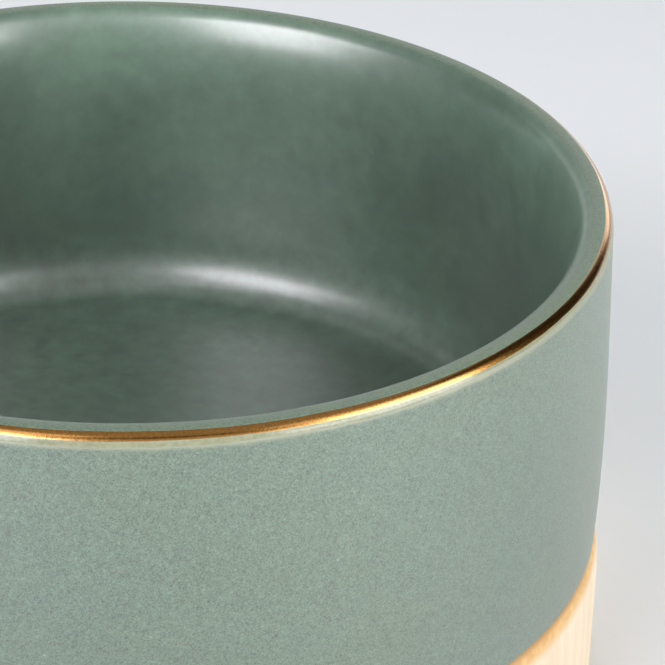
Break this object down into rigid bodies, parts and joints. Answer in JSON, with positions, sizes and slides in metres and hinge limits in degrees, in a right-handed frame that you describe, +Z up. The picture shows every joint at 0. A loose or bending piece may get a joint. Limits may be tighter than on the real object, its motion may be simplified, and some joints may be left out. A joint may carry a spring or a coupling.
{
  "type": "ceramic pet bowl on a wooden base",
  "caption": "Round straight-walled glazed ceramic pet bowl with a thick rounded rim edged in gold, standing in a low turned wooden base.",
  "frame": {"origin": "centre of the wooden base's underside, on the ground", "axes": "+Z up the bowl's axis of revolution; X and Y are equal, because the object is round"},
  "size_m": [0.1626, 0.1626, 0.0875],
  "materials": {
    "sage_glaze": "matte speckled sage green outside, glossier and darker inside, with a bright gold lustre line round the rim",
    "pale_wood": "sanded pale wood, clear matt oil"
  },
  "bodies": {
    "root": {"ceramic_bowl": "sage_glaze", "wooden_base": "pale_wood"}
  },
  "joints": []
}
